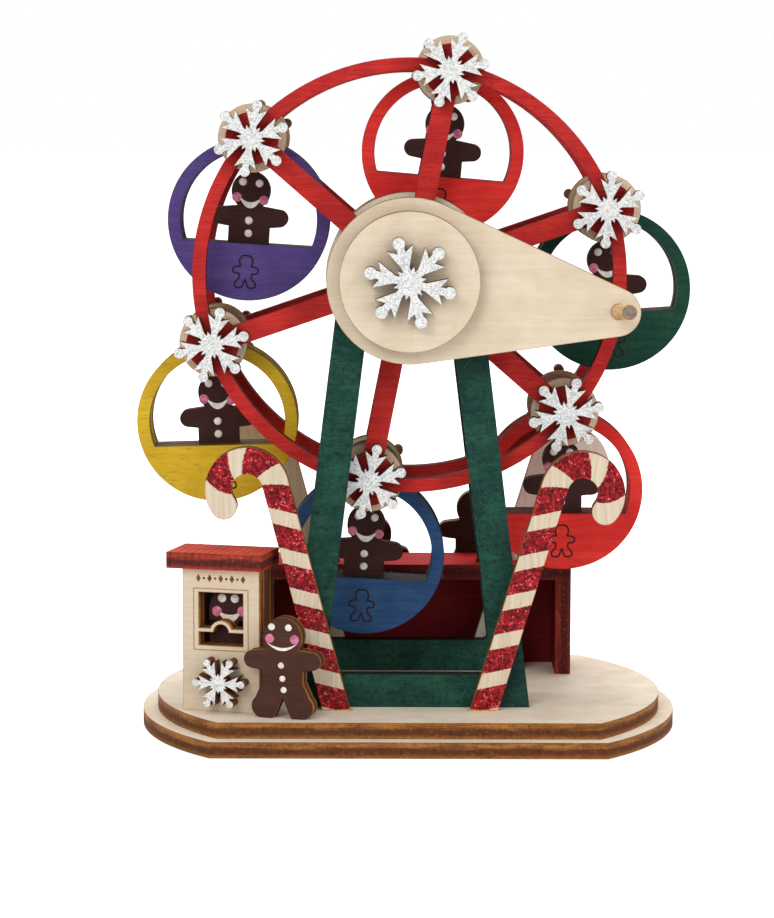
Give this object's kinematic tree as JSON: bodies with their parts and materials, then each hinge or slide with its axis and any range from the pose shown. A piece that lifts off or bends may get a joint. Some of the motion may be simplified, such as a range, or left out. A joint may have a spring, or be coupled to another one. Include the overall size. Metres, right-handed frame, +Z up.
{
  "type": "hand-cranked ferris wheel toy",
  "caption": "Laser-cut plywood ferris wheel toy: a crank turns a double-rimmed wheel whose hanging cabins carry gingerbread riders, with a booth, candy canes and a platform.",
  "frame": {"origin": "middle of the base's underside, on the table", "axes": "+X to the right and -Y towards the viewer as the toy is seen from its crank side, +Z up"},
  "size_m": [0.1111, 0.078, 0.139],
  "materials": {
    "bare_ply": "satin",
    "red_ply": "satin",
    "dark_red_ply": "satin",
    "green_ply": "satin",
    "purple_ply": "satin",
    "yellow_ply": "satin",
    "blue_ply": "satin",
    "gingerbread_dark": "satin",
    "gingerbread_brown": "satin",
    "white_glitter": "satin",
    "candy_stripe": "satin",
    "brown_ply": "satin"
  },
  "bodies": {
    "stand": {"base_lower_plate": "bare_ply", "base_upper_plate": "bare_ply", "boarding_steps": "dark_red_ply", "booth_back_wall": "bare_ply", "booth_clerk": "gingerbread_dark", "booth_front_wall": "bare_ply", "booth_left_wall": "brown_ply", "booth_right_wall": "brown_ply", "booth_roof": "red_ply", "booth_snowflake": "white_glitter", "deck_front_board": "dark_red_ply", "deck_rear_board": "dark_red_ply", "front_a_frame": "green_ply", "left_front_cane": "candy_stripe", "left_rear_cane": "candy_stripe", "lower_waiting_gingerbread": "gingerbread_brown", "platform_left_side": "dark_red_ply", "platform_right_side": "dark_red_ply", "platform_wall": "dark_red_ply", "rear_a_frame": "green_ply", "right_front_cane": "candy_stripe", "right_rear_cane": "candy_stripe", "standing_gingerbread": "gingerbread_brown", "upper_waiting_gingerbread": "gingerbread_brown"},
    "wheel": {"cabin_axles": "bare_ply", "crank_cap": "bare_ply", "crank_handle": "bare_ply", "crank_plate": "bare_ply", "crank_snowflake": "white_glitter", "crank_spacer": "bare_ply", "front_hub_disc": "bare_ply", "front_ring": "red_ply", "front_spacers": "bare_ply", "front_wheel_snowflakes": "white_glitter", "main_axle": "bare_ply", "rear_end_cap": "bare_ply", "rear_hub_disc": "bare_ply", "rear_ring": "red_ply", "rear_spacers": "bare_ply", "rear_wheel_snowflakes": "white_glitter"},
    "green_cabin": {"green_cabin_front_panel": "green_ply", "green_cabin_rear_panel": "green_ply", "green_cabin_rider": "gingerbread_dark"},
    "red_cabin": {"red_cabin_front_panel": "red_ply", "red_cabin_rear_panel": "red_ply", "red_cabin_rider": "gingerbread_dark"},
    "purple_cabin": {"purple_cabin_front_panel": "purple_ply", "purple_cabin_rear_panel": "purple_ply", "purple_cabin_rider": "gingerbread_dark"},
    "yellow_cabin": {"yellow_cabin_front_panel": "yellow_ply", "yellow_cabin_rear_panel": "yellow_ply", "yellow_cabin_rider": "gingerbread_dark"},
    "blue_cabin": {"blue_cabin_front_panel": "blue_ply", "blue_cabin_rear_panel": "blue_ply", "blue_cabin_rider": "gingerbread_dark"},
    "scarlet_cabin": {"scarlet_cabin_front_panel": "red_ply", "scarlet_cabin_rear_panel": "red_ply", "scarlet_cabin_rider": "gingerbread_dark"}
  },
  "joints": [
    {"name": "wheel_spin", "type": "hinge", "parent": "stand", "child": "wheel", "pos_m": [0, 0, 0.0913], "axis": [0, -1, 0], "continuous": true},
    {"name": "green_cabin_swing", "type": "hinge", "parent": "wheel", "child": "green_cabin", "pos_m": [0.03907, 0, 0.10468], "axis": [0, -1, 0], "continuous": true},
    {"name": "red_cabin_swing", "type": "hinge", "parent": "wheel", "child": "red_cabin", "pos_m": [0.00795, 0, 0.13183], "axis": [0, -1, 0], "continuous": true},
    {"name": "purple_cabin_swing", "type": "hinge", "parent": "wheel", "child": "purple_cabin", "pos_m": [-0.03112, 0, 0.11845], "axis": [0, -1, 0], "continuous": true},
    {"name": "yellow_cabin_swing", "type": "hinge", "parent": "wheel", "child": "yellow_cabin", "pos_m": [-0.03907, 0, 0.07792], "axis": [0, -1, 0], "continuous": true},
    {"name": "blue_cabin_swing", "type": "hinge", "parent": "wheel", "child": "blue_cabin", "pos_m": [-0.00795, 0, 0.05077], "axis": [0, -1, 0], "continuous": true},
    {"name": "scarlet_cabin_swing", "type": "hinge", "parent": "wheel", "child": "scarlet_cabin", "pos_m": [0.03112, 0, 0.06415], "axis": [0, -1, 0], "continuous": true}
  ],
  "couplings": [
    {"joint": "green_cabin_swing", "follows": "wheel_spin", "ratio": -1},
    {"joint": "red_cabin_swing", "follows": "wheel_spin", "ratio": -1},
    {"joint": "purple_cabin_swing", "follows": "wheel_spin", "ratio": -1},
    {"joint": "yellow_cabin_swing", "follows": "wheel_spin", "ratio": -1},
    {"joint": "blue_cabin_swing", "follows": "wheel_spin", "ratio": -1},
    {"joint": "scarlet_cabin_swing", "follows": "wheel_spin", "ratio": -1}
  ]
}
